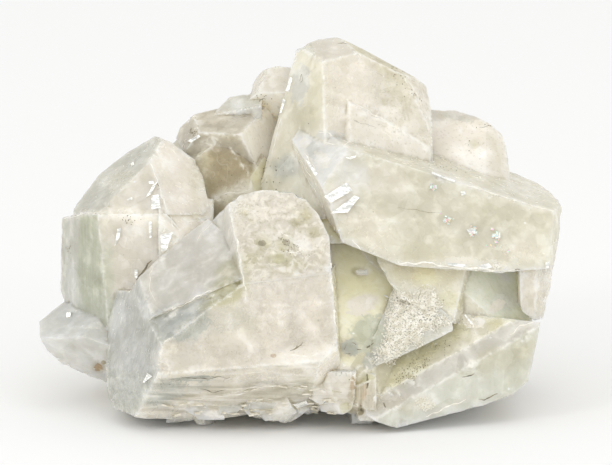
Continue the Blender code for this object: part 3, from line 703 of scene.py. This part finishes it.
# Inclusions and stains with a clear edge: where the picture shows each, its size in pixels, its
# turn, its hue and its strength
PANES = [
    (361, 305, 15, 10, -18, "milk", 0.85), (361, 272, 7, 3, 0, "milk", 0.9),
    (366, 334, 16, 22, 28, "sage", 0.7), (262, 243, 4, 3, 10, "soil", 0.7),
    (286, 242, 4, 3, 0, "soil", 0.7), (279, 258, 6, 4, -30, "olive", 0.7),
    (291, 264, 7, 13, 10, "olive", 0.3), (300, 246, 9, 2, 35, "milk", 0.9),
    (273, 355, 3, 2, 0, "rust", 0.6),
    (98, 367, 4, 4, 0, "rust", 0.8), (103, 362, 3, 2, 0, "umber", 0.8),
    (186, 325, 24, 13, -8, "slate", 0.7),
    (497, 305, 11, 5, -40, "snow", 0.9), (360, 409, 3, 5, 0, "soil", 0.9),
    (346, 408, 7, 6, 0, "olive", 0.7), (196, 378, 22, 3, 0, "slate", 0.7),
    (196, 388, 14, 5, -20, "smoke", 0.4),
    (166, 392, 22, 10, -25, "smoke", 0.7), (240, 186, 7, 5, -40, "fawn", 0.6),
    (478, 322, 6, 5, 0, "snow", 0.8),
    (370, 360, 8, 8, 0, "slate", 0.6),
    (350, 347, 9, 9, 0, "slate", 0.7), (300, 84, 9, 20, 12, "ash", 0.6), (216, 120, 16, 12, 0, "umber", 0.3),
    (356, 398, 8, 22, 3, "umber", 0.45), (352, 385, 2, 9, 0, "rust", 0.6), (364, 392, 2, 9, 5, "rust", 0.5),
    (274, 320, 14, 34, 0, "milk", 0.5), (228, 292, 22, 9, -27, "olive", 0.5),
    (214, 322, 40, 12, -12, "pearl", 0.35), (313, 150, 6, 14, -20, "ash", 0.5), (330, 135, 14, 5, 5, "silver", 0.7),
    (322, 160, 7, 12, -25, "snow", 0.6), (304, 142, 7, 5, 0, "snow", 0.7),
    (396, 84, 13, 26, -30, "honey", 0.45), (456, 117, 16, 3, 15, "pearl", 0.6),
    (302, 215, 10, 6, 30, "honey", 0.5), (262, 214, 14, 7, -10, "milk", 0.6),
    ]
for across, down, half_width, half_height, turn, hue, strength in PANES:
    spot = seen_at(facet_tree, across, down)[0]
    turn = math.radians(turn)
    right = ACROSS * math.cos(turn) - UP * math.sin(turn)
    above = ACROSS * math.sin(turn) + UP * math.cos(turn)
    inputs = {
        "Vector": where, "Location": spot, "Rotation": Matrix((right, INTO, above)).transposed().to_euler(),
        "Scale": (half_width * PIXEL, 4 * MM, half_height * PIXEL),
    }
    within = add(tree, "ShaderNodeMapping", inputs, vector_type="TEXTURE").outputs[0]
    far = add(tree, "ShaderNodeVectorMath", {0: within}, operation="LENGTH").outputs["Value"]
    far = maths("ADD", far, maths("MULTIPLY", maths("SUBTRACT", fleck, 0.5), 1.6))
    colour = mixed(between(far, 1.12, 0.88, 0.0, strength), colour, HUES[hue])

colour = mixed(between(block, 0.5, 1.0, 0.0, 0.30), colour, "FAFAF8", "SOFT_LIGHT")
colour = mixed(between(block, 0.5, 0.0, 0.0, 0.08), colour, "CFCDB4", "MULTIPLY")
colour = mixed(between(shard, 0.6, 1.0, 0.0, 0.20), colour, "FFFFFF", "SOFT_LIGHT")
colour = mixed(between(cloud, 0.50, 0.70, 0.0, 0.36), colour, "FBFBFA", "SOFT_LIGHT")
colour = mixed(between(cloud, 0.46, 0.28, 0.0, 0.13), colour, "D2CFB2", "MULTIPLY")
colour = mixed(between(veil, 0.52, 0.72, 0.0, 0.48), colour, "FCFCFB", "SOFT_LIGHT")
colour = mixed(between(veil, 0.46, 0.28, 0.0, 0.11), colour, "CFCBB2", "MULTIPLY")
colour = mixed(between(seams, 0.012, 0.0, 0.0, 0.10), colour, "FFFDF8")

# Rough faces: white crumbs with yellow-grey dirt between them
rough = between(frost, 0.66, 0.90)
crumb = mottle(where, CRUMB_SIZE, 3.5, 1.2)
dirt_share = maths("MULTIPLY", rough, between(crumb, 0.47, 0.34, 0.0, 0.45))
colour = mixed(dirt_share, colour, "B9B294")
crumb_share = maths("MULTIPLY", rough, between(crumb, 0.52, 0.62, 0.0, 0.48))
colour = mixed(crumb_share, colour, "F6F1E5")
grain_share = maths("MULTIPLY", between(grain, 0.42, 0.30), between(frost, 0.1, 0.9, 0.08, 0.38))
colour = mixed(grain_share, colour, "BDB9A5", "MULTIPLY")
for pattern, strength in ((upright, lined), (level, layered)):
    dark_share = maths("MULTIPLY", between(pattern, 0.50, 0.34), maths("MULTIPLY", strength, 0.32))
    colour = mixed(dark_share, colour, "A8A697", "MULTIPLY")
    light_share = maths("MULTIPLY", between(pattern, 0.52, 0.66), maths("MULTIPLY", strength, 0.55))
    colour = mixed(light_share, colour, "F8F4EA")
inputs = {"Vector": where, "Scale": 1.0 / SPECK_SPACING}
dust = add(tree, "ShaderNodeTexVoronoi", inputs).outputs["Distance"]
dust_share = maths("MULTIPLY", between(dust, 0.075, 0.045), between(fleck, 0.54, 0.62, 0.0, 0.75))
colour = mixed(dust_share, colour, "6E6755")
inputs = {"Vector": where, "Scale": 1.0 / GLINT_SPACING}
glint = add(tree, "ShaderNodeTexVoronoi", inputs, distance="MANHATTAN").outputs["Distance"]
glint_share = maths("MULTIPLY", between(glint, 0.12, 0.06), between(veil, 0.50, 0.58, 0.0, 0.75))
colour = mixed(glint_share, colour, "FFFFFF")
# Painted shade: the creases darkened towards olive-brown
colour = mixed(maths("MULTIPLY", crease_shade, between(fleck, 0.40, 0.62, 0.0, 0.35)), colour, "B4AB8C", "MULTIPLY")
# The edges whitened: real wear in part, painted highlight in part
colour = mixed(maths("MULTIPLY", wear_and_edge_light, between(fleck, 0.38, 0.62, 0.05, 0.70)), colour, "FFFDF6")

clear = maths("MULTIPLY", maths("SUBTRACT", 1.0, milk), between(veil, 0.40, 0.66, 0.60, 0.40))
gloss = maths("ADD", between(frost, 0.0, 1.0, 0.08, 0.55), between(fleck, 0.40, 0.70, -0.02, 0.10))
relief = maths("MULTIPLY", grain, between(frost, 0.1, 0.9, 0.05, 1.0))
relief = maths("ADD", relief, maths("MULTIPLY", upright, maths("MULTIPLY", lined, 0.6)))
relief = maths("ADD", relief, maths("MULTIPLY", level, maths("MULTIPLY", layered, 3.0)))
relief = maths("ADD", relief, maths("MULTIPLY", fleck, between(frost, 0.0, 1.0, 0.12, 0.8)))
relief = maths("ADD", relief, maths("MULTIPLY", crumb, maths("MULTIPLY", rough, 4.0)))
inputs = {"Height": relief, "Strength": 0.45, "Distance": RELIEF}
fine_bump = add(tree, "ShaderNodeBump", inputs).outputs["Normal"]
inputs = {"Height": rise, "Strength": 1.0, "Distance": SHARD_TILT, "Normal": fine_bump}
bump = add(tree, "ShaderNodeBump", inputs).outputs["Normal"]

shader.inputs["IOR"].default_value = DATOLITE_INDEX
shader.inputs["Subsurface Weight"].default_value = 0.8
shader.inputs["Subsurface Radius"].default_value = (1.0, 0.95, 0.8)
shader.inputs["Subsurface Scale"].default_value = 4.5 * MM
tree.links.new(colour, shader.inputs["Base Color"])
tree.links.new(clear, shader.inputs["Transmission Weight"])
tree.links.new(gloss, shader.inputs["Roughness"])
tree.links.new(bump, shader.inputs["Normal"])
depth_tint = add(tree, "ShaderNodeVolumeAbsorption")
depth_tint.inputs["Color"].default_value = (*linear("D6D7B2"), 1.0)
depth_tint.inputs["Density"].default_value = 22.0
tree.links.new(depth_tint.outputs[0], tree.nodes["Material Output"].inputs["Volume"])

stone_mesh.materials.append(stone)
for polygon in stone_mesh.polygons:
    polygon.use_smooth = True
stone_mesh.set_sharp_from_angle(angle=SHADED_SHARP)
crystals = show("datolite", stone_mesh)
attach(crystals, "root")
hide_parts("datolite_crystals")

# Bright cleavage steps
# Small flat steps, broken fresh and smooth, lie at the angle that sends a softbox to the viewer, so
# they flash white; their near-white colour is also partly a painted highlight. Each is a thin plate
# set into the stone, its corners read from the picture.
STEP_LIFT = 0.03 * MM
STEP_ROOT = 0.5 * MM
STEPS = {
    "left_softbox": [
        [(151, 195), (151, 209), (160, 208), (158, 194)], [(145, 197), (152, 185), (158, 180), (150, 194)],
        [(126, 199), (132, 196), (132, 199), (127, 200)], [(148, 181), (153, 180), (154, 183), (149, 184)],
        [(160, 234), (161, 251), (166, 250), (172, 232)], [(114, 246), (117, 228), (121, 227), (119, 237)],
        [(148, 221), (149, 238), (151, 237), (151, 221)], [(134, 269), (134, 279), (137, 280), (137, 269)],
        [(322, 197), (346, 182), (352, 190), (329, 203)], [(330, 213), (354, 195), (359, 197), (347, 212)],
        [(285, 90), (290, 76), (292, 78), (288, 92)], [(279, 113), (284, 92), (287, 94), (281, 112)],
        [(149, 369), (142, 382), (144, 382), (155, 373)], [(183, 143), (198, 134), (200, 136), (188, 144)],
        [(305, 159), (315, 176), (317, 173), (308, 161)], [(66, 312), (71, 311), (70, 316), (66, 317)],
        [(345, 157), (356, 155), (355, 157), (350, 159)],
    ],
    "top_softbox": [
        [(431, 171), (455, 180), (454, 182), (431, 173)], [(476, 265), (488, 262), (492, 267), (482, 269)],
        [(460, 191), (464, 190), (466, 194), (461, 195)], [(466, 229), (474, 227), (475, 233), (469, 234)],
        [(494, 233), (500, 232), (500, 237), (495, 238)], [(355, 270), (367, 269), (367, 274), (357, 274)],
        [(130, 163), (133, 161), (134, 164), (131, 166)], [(292, 404), (306, 400), (308, 404), (297, 408)],
        [(446, 262), (466, 264), (464, 267), (448, 265)],
    ],
    "right_softbox": [
        [(465, 314), (473, 324), (470, 323), (464, 315)], [(545, 262), (549, 261), (548, 268), (545, 268)],
        [(383, 295), (390, 292), (391, 295), (388, 298)],
    ],
}
SLICE = 2.2
crystal_tree = BVHTree.FromPolygons([Vector(p) for p in fine], triangles.tolist())


def joined_piece(name, lumps, material):
    """Closed lumps of (points, faces) as one finished piece of the specimen."""
    mesh = bmesh.new()
    for lump_points, lump_faces in lumps:
        made = [mesh.verts.new(point) for point in lump_points]
        for face in lump_faces:
            mesh.faces.new([made[i] for i in face])
    bmesh.ops.recalc_face_normals(mesh, faces=mesh.faces[:])
    data = bpy.data.meshes.new(name)
    mesh.to_mesh(data)
    mesh.free()
    data.materials.append(material)
    piece = show(name, data)
    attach(piece, "root")
    return piece


def slices(first, second, third, fourth):
    """Four picture corners cut across the side from the first to the second, a few pixels wide."""
    ends = [Vector(corner) for corner in (first, second, third, fourth)]
    count = max(1, round((ends[1] - ends[0]).length / SLICE))
    for k in range(count):
        start, stop = k / count, (k + 0.88) / count
        yield (
            ends[0].lerp(ends[1], start), ends[0].lerp(ends[1], stop),
            ends[3].lerp(ends[2], stop), ends[3].lerp(ends[2], start),
        )


def step_plate(corners, facing):
    """A flat plate that covers these corners, turned to face this way, just clear of the stone."""
    found = [seen_at(crystal_tree, *corner)[0] for corner in corners]
    if None in found or max(abs((point - found[0]).dot(INTO)) for point in found) > 1.5 * MM:
        return None
    level = max(point.dot(facing) for point in found) + STEP_LIFT
    front = []
    back = []
    for point in found:
        line = (point - EYE).normalized()
        top = point + line * ((level - point.dot(facing)) / line.dot(facing))
        front.append(top)
        back.append(point + line * STEP_ROOT)
    count = len(found)
    faces = [list(range(count)), [count + i for i in reversed(range(count))]]
    faces += [[i, (i + 1) % count, count + (i + 1) % count, count + i] for i in range(count)]
    return front + back, faces


def small_material(name, hue, second_hue, roughness, patch=0.8 * MM, grit=0.03 * MM):
    """The finish of a small piece, in patches of two hues, with a fine relief."""
    made = bpy.data.materials.new(name)
    made.use_nodes = True
    made_tree = made.node_tree
    spot = add(made_tree, "ShaderNodeTexCoord").outputs["Object"]
    patches = between(mottle(spot, patch), 0.38, 0.62)
    made_shader = made_tree.nodes["Principled BSDF"]
    made_tree.links.new(mixed(patches, hue, second_hue), made_shader.inputs["Base Color"])
    rough = between(patches, 0.0, 1.0, roughness, roughness + 0.12)
    made_tree.links.new(rough, made_shader.inputs["Roughness"])
    inputs = {"Height": mottle(spot, GRAIN_SIZE), "Strength": 0.4, "Distance": grit}
    made_bump = add(made_tree, "ShaderNodeBump", inputs).outputs["Normal"]
    made_tree.links.new(made_bump, made_shader.inputs["Normal"])
    made_shader.inputs["IOR"].default_value = DATOLITE_INDEX
    return made


# Fresh cleavage: smooth and glassy, so it mirrors the softbox it faces, but ribbed along its length.
# Its near-white colour is partly a painted highlight.
cleavage_and_highlight_white = small_material("cleavage_and_highlight_white", "FBFAF5", "E2E2DD", 0.12, grit=0.003 * MM)
rib_tree = cleavage_and_highlight_white.node_tree
rib_spot = add(rib_tree, "ShaderNodeTexCoord").outputs["Object"]
ribs = mottle(turned_spot(rib_spot, (0.25, 1.0, 1.0), (0.0, 0.52, 0.0)), 0.35 * MM, 2.0, 0.3)
rib_shader = rib_tree.nodes["Principled BSDF"]
rib_tree.links.new(mixed(between(ribs, 0.46, 0.60), "FBFAF5", "CDCEC9"), rib_shader.inputs["Base Color"])
rib_tree.links.new(between(ribs, 0.42, 0.60, 0.08, 0.40), rib_shader.inputs["Roughness"])
plates = []
for softbox, rows in STEPS.items():
    half_way = (LAMP_DIRECTIONS[softbox] - INTO).normalized()
    plates += [step_plate(piece, half_way) for row in rows for piece in slices(*row)]
joined_piece("bright_steps", [plate for plate in plates if plate], cleavage_and_highlight_white)

# Healed cracks and bright edges
# A crack that healed, or an edge that was bruised, is full of tiny flaws and shows as a white line.
# Where an edge catches the light, its white line is partly a painted highlight. Each line is a
# thin ridge laid along the surface, as the picture shows its course.
LINE_STEP = 1.8
LINE_SUNK = 0.10 * MM
LINE_RISE = 0.04 * MM
LINE_SWAY = 2.2
SECTION = ((-1.0, 0.0), (-0.8, 0.5), (0.0, 1.0), (0.8, 0.5), (1.0, 0.0))
# The sway is drawn from one seed, so that every line lies the same way each time
noise.seed_set(17)


def surface_line(route, width, rise):
    """A thin ridge along a route of picture points, swaying a little, thick and thin by turns and
    widest in the middle of its run."""
    spots = []
    for (x1, y1), (x2, y2) in zip(route, route[1:]):
        count = max(1, round(math.hypot(x2 - x1, y2 - y1) / LINE_STEP))
        for k in range(count):
            x, y = x1 + (x2 - x1) * k / count, y1 + (y2 - y1) * k / count
            sway = noise.noise_vector(Vector((x, y, 0.0)) / 8.0) * LINE_SWAY
            spots.append((x + sway.x, y + sway.y))
    seen = [seen_at(crystal_tree, *spot)[:2] for spot in spots]
    runs = [[]]
    for point, normal in seen:
        if point is None or (runs[-1] and (point - runs[-1][-1][0]).length > 1.5 * MM):
            runs.append([])
        if point is not None:
            runs[-1].append((point, normal))
    lumps = []
    for run in runs:
        if len(run) < 2:
            continue
        ring_points = []
        for i, (point, normal) in enumerate(run):
            ahead = (run[min(i + 1, len(run) - 1)][0] - run[max(i - 1, 0)][0]).normalized()
            side = normal.cross(ahead).normalized()
            taper = 0.2 + 0.8 * math.sin(math.pi * (i + 0.5) / len(run)) ** 0.5
            swell = 0.35 + 1.3 * abs(noise.noise(point / (0.9 * MM)))
            half = 0.5 * width * taper * min(swell, 1.2)
            for out, height in SECTION:
                level = rise * height * taper if height else -LINE_SUNK
                ring_points.append(point + side * half * out + normal * level)
        last = len(ring_points) - 5
        faces = [[4, 3, 2, 1, 0], [last + k for k in range(5)]]
        for i in range(0, last, 5):
            faces += [[i + k, i + (k + 1) % 5, i + 5 + (k + 1) % 5, i + 5 + k] for k in range(5)]
        lumps.append((ring_points, faces))
    return lumps


# Bruised stone, and painted highlight along edges that catch the light: white, soft to the eye and half matt
bruise_and_highlight_white = small_material("bruised_and_edge_lit_datolite", "F8F5EC", "E6E2D5", 0.30)
ridges_drawn = []
for route, width in WHITE_LINES:
    ridges_drawn += surface_line(route, 0.75 * width * MM, LINE_RISE)
joined_piece("white_lines", ridges_drawn, bruise_and_highlight_white)

# Open cracks
# A few cracks stand open, with dark dirt in them that no washing reached.
DARK_LINES = [
    ([(135, 280), (140, 273), (146, 266), (152, 259)], 0.35),
    ([(142, 270), (146, 266), (149, 262)], 0.55),
    ([(290, 350), (296, 347), (303, 343)], 0.35),
    ([(301, 345), (303, 340)], 0.18),
    ([(297, 347), (298, 341)], 0.16),
    ([(298, 80), (302, 74), (302, 79), (298, 82)], 0.16),
    ([(343, 350), (347, 343)], 0.20), ([(351, 341), (357, 345)], 0.20), ([(345, 353), (352, 354)], 0.25),
    ([(357, 349), (363, 348)], 0.30), ([(365, 347), (370, 344)], 0.50), ([(370, 344), (376, 340)], 0.30),
    ([(366, 374), (367, 382), (365, 390)], 0.55),
    ([(360, 403), (361, 409), (363, 414)], 0.70),
    ([(383, 402), (384, 408)], 0.35),
    ([(180, 377), (200, 379), (232, 377)], 0.22),
    ([(200, 389), (214, 391), (226, 388)], 0.22),
    ([(478, 400), (490, 397), (498, 393)], 0.30),
    ([(462, 376), (469, 375), (475, 372)], 0.25),
    ([(352, 120), (366, 124), (376, 128)], 0.07), ([(396, 208), (414, 210), (440, 212)], 0.08),
    ([(150, 190), (156, 184), (159, 187), (154, 192)], 0.10), ([(336, 43), (342, 42), (348, 43)], 0.30),
    ([(478, 128), (488, 126), (494, 129)], 0.12), ([(513, 270), (518, 269), (522, 270)], 0.30),
    ([(258, 102), (264, 98), (268, 100)], 0.25), ([(292, 243), (297, 246), (299, 250)], 0.16),
]
# Crack dirt: dull brown-grey silt and iron stain
crack_dirt = small_material("crack_dirt", "6B6453", "8C8268", 0.75)
cracks_drawn = []
for route, width in DARK_LINES:
    cracks_drawn += surface_line(route, width * MM, 0.02 * MM)
joined_piece("dark_cracks", cracks_drawn, crack_dirt)

# The strewn grains
# Late datolite grew as a crust of tiny blocky crystals over the hollow on the right, shards cling
# to the broken foot, dark grains sit in the faces, and thin flaws split the light into colours.
SUGAR = [
    (412, 318, 30, 24, -38, 1.0), (395, 345, 24, 12, -38, 1.0), (425, 404, 9, 7, 0, 0.8),
    (400, 300, 10, 10, 0, 0.9), (436, 318, 16, 7, 20, 0.6), (470, 322, 6, 5, 0, 0.4),
    (486, 267, 14, 3, -3, 0.5), (500, 196, 46, 2, 17, 0.1), (244, 208, 12, 5, -20, 0.3),
    (300, 252, 12, 4, 20, 0.2),
]
SHARDS = [
    (200, 408, 30, 8, 0, 0.8), (250, 408, 40, 8, -4, 1.0), (310, 402, 36, 10, 6, 1.0),
    (345, 395, 16, 18, 0, 0.25), (280, 392, 40, 8, -6, 0.4), (358, 405, 8, 14, 0, 0.2),
]
DUST = [
    (414, 367, 20, 7, -38, 1.0), (400, 378, 10, 5, -25, 0.8), (440, 348, 14, 6, -35, 0.2),
    (192, 132, 3, 3, 0, 1.0), (68, 249, 4, 5, 0, 0.3), (127, 220, 7, 3, 20, 0.6),
    (284, 243, 12, 6, 30, 0.25), (350, 375, 12, 8, 0, 0.1), (265, 170, 24, 18, 0, 0.04),
    (262, 98, 8, 5, 0, 0.3), (444, 165, 30, 5, 12, 0.04), (236, 170, 20, 16, 0, 0.05),
    (404, 84, 10, 24, -30, 0.12), (130, 218, 10, 4, 0, 0.12), (480, 140, 20, 16, 0, 0.03),
]
RAINBOW = [
    (447, 219, 12, 4, 20, 0.5), (470, 231, 8, 5, 10, 1.0), (497, 236, 7, 6, 10, 0.8),
    (478, 242, 12, 6, 20, 0.3), (434, 187, 3, 3, 0, 0.4), (446, 187, 3, 3, 0, 0.4),
    (500, 246, 10, 4, 10, 0.3),
]
RAINBOW_HUES = ("F9F3E4", "A9DEF5", "F6EFA8", "EFB9E4", "B5EBC8", "FDFBF6")


def sprinkle_share(spots):
    """How densely each point of the stone is strewn, from rows of across, down, half width,
    half height, turn and strength."""
    share = np.zeros(vertex_count)
    for across, down, half_width, half_height, turn, strength in spots:
        spot = seen_at(facet_tree, across, down)[0]
        turn = math.radians(turn)
        right = (pixels_across - across) * math.cos(turn) + (pixels_down - down) * math.sin(turn)
        below = (pixels_down - down) * math.cos(turn) - (pixels_across - across) * math.sin(turn)
        far = np.hypot(right / half_width, below / half_height) + 0.35 * ragged
        near = np.abs(depths - (spot - MIDDLE).dot(INTO)) < 4 * MM
        patch = np.clip((1.1 - far) / 0.3, 0.0, 1.0) * near * (outward @ np.array(-INTO) > 0.1)
        share = np.maximum(share, patch * strength)
    return share * (points[:, 2] > 1.5 * MM)


def sprinkle_tree(name, tumble, material):
    """Geometry Nodes that strew blocks over a surface, where its attribute "strewn" says, each
    turned by up to the tumble about every axis."""
    group = bpy.data.node_groups.new(name, "GeometryNodeTree")
    sockets = {}
    group.interface.new_socket("Surface", in_out="INPUT", socket_type="NodeSocketGeometry")
    for label, kind in [
        ("Grains per square metre", "NodeSocketFloat"), ("Smallest", "NodeSocketVector"),
        ("Largest", "NodeSocketVector"), ("Seed", "NodeSocketInt"),
    ]:
        made = group.interface.new_socket(label, in_out="INPUT", socket_type=kind)
        sockets[label] = made.identifier
    group.interface.new_socket("Grains", in_out="OUTPUT", socket_type="NodeSocketGeometry")
    given = add(group, "NodeGroupInput").outputs
    strewn = add(group, "GeometryNodeInputNamedAttribute", {"Name": "strewn"}, data_type="FLOAT")
    inputs = {0: given["Grains per square metre"], 1: strewn.outputs["Attribute"]}
    density = add(group, "ShaderNodeMath", inputs, operation="MULTIPLY").outputs[0]
    inputs = {"Mesh": given["Surface"], "Density": density, "Seed": given["Seed"]}
    dots = add(group, "GeometryNodeDistributePointsOnFaces", inputs).outputs["Points"]
    inputs = {"Min": [-turn for turn in tumble], "Max": tumble, "Seed": given["Seed"]}
    turn = add(group, "FunctionNodeRandomValue", inputs, data_type="FLOAT_VECTOR").outputs[0]
    inputs = {"Min": given["Smallest"], "Max": given["Largest"], "Seed": 7}
    size = add(group, "FunctionNodeRandomValue", inputs, data_type="FLOAT_VECTOR").outputs[0]
    shape = add(group, "GeometryNodeMeshCube").outputs["Mesh"]
    inputs = {"Points": dots, "Instance": shape, "Rotation": turn, "Scale": size}
    grains = add(group, "GeometryNodeInstanceOnPoints", inputs).outputs[0]
    real = add(group, "GeometryNodeRealizeInstances", {"Geometry": grains}).outputs[0]
    finished = add(group, "GeometryNodeSetMaterial", {"Geometry": real, "Material": material})
    add(group, "NodeGroupOutput", {"Grains": finished.outputs[0]})
    return group, sockets


def sprinkle(name, spots, tumble, material, density, smallest, largest, seed):
    """A piece of strewn blocks. Sizes are in millimetres, the density is to the square metre."""
    group, sockets = sprinkle_tree(name, tumble, material)
    carrier_mesh = bpy.data.meshes.new(name)
    carrier_mesh.from_pydata(fine.tolist(), [], triangles.tolist())
    layer = carrier_mesh.attributes.new("strewn", "FLOAT", "POINT")
    layer.data.foreach_set("value", sprinkle_share(spots).astype(np.float32))
    carrier = show(name, carrier_mesh)
    modifier = carrier.modifiers.new("sprinkle", "NODES")
    modifier.node_group = group
    modifier[sockets["Grains per square metre"]] = density
    modifier[sockets["Smallest"]] = [side * MM for side in smallest]
    modifier[sockets["Largest"]] = [side * MM for side in largest]
    modifier[sockets["Seed"]] = seed
    graph = bpy.context.evaluated_depsgraph_get()
    grains = bpy.data.meshes.new_from_object(carrier.evaluated_get(graph))
    carrier.modifiers.clear()
    carrier.data = grains
    grains.name = name
    bpy.data.meshes.remove(carrier_mesh)
    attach(carrier, "root")


# Sugary datolite: bright little blocks, white where they touch
sugar = small_material("sugary_datolite", "F7F4EA", "E0DBCB", 0.22)
any_way = (math.pi, math.pi, math.pi)
sprinkle("sugary_crust", SUGAR, any_way, sugar, 4.5e7, (0.09,) * 3, (0.24,) * 3, 3)

# Broken datolite: flat flakes that still lie in their layers, greyish or yellowish
flake = small_material("datolite_flakes", "E6E0D2", "C2BBA6", 0.35)
flat_way = (0.30, 0.25, 0.35)
sprinkle("foot_flakes", SHARDS, flat_way, flake, 7.0e5, (0.5, 0.3, 0.10), (1.9, 1.0, 0.28), 5)

# Dark grains: specks of the rock that the crystals grew on
rock_dust = small_material("rock_dust", "6F6752", "9A8F70", 0.7)
sprinkle("dark_grains", DUST, any_way, rock_dust, 8.0e6, (0.06,) * 3, (0.17,) * 3, 9)

# Interference colours: a flaw as thin as a soap film, in pale rainbow patches half a millimetre wide
rainbow = small_material("rainbow_flaw", "FFFFFF", "FFFFFF", 0.08)
rainbow_tree = rainbow.node_tree
rainbow_spot = add(rainbow_tree, "ShaderNodeTexCoord").outputs["Object"]
hues = add(rainbow_tree, "ShaderNodeValToRGB", {0: mottle(rainbow_spot, 0.5 * MM, 1.0)})
ramp = hues.color_ramp.elements
while len(ramp) < len(RAINBOW_HUES):
    ramp.new(0.5)
for k, hue in enumerate(RAINBOW_HUES):
    ramp[k].position = 0.30 + 0.40 * k / (len(RAINBOW_HUES) - 1)
    ramp[k].color = (*linear(hue), 1.0)
rainbow_tree.links.new(hues.outputs[0], rainbow_tree.nodes["Principled BSDF"].inputs["Base Color"])
sprinkle("rainbow_flecks", RAINBOW, any_way, rainbow, 3.2e6, (0.12,) * 3, (0.62,) * 3, 12)
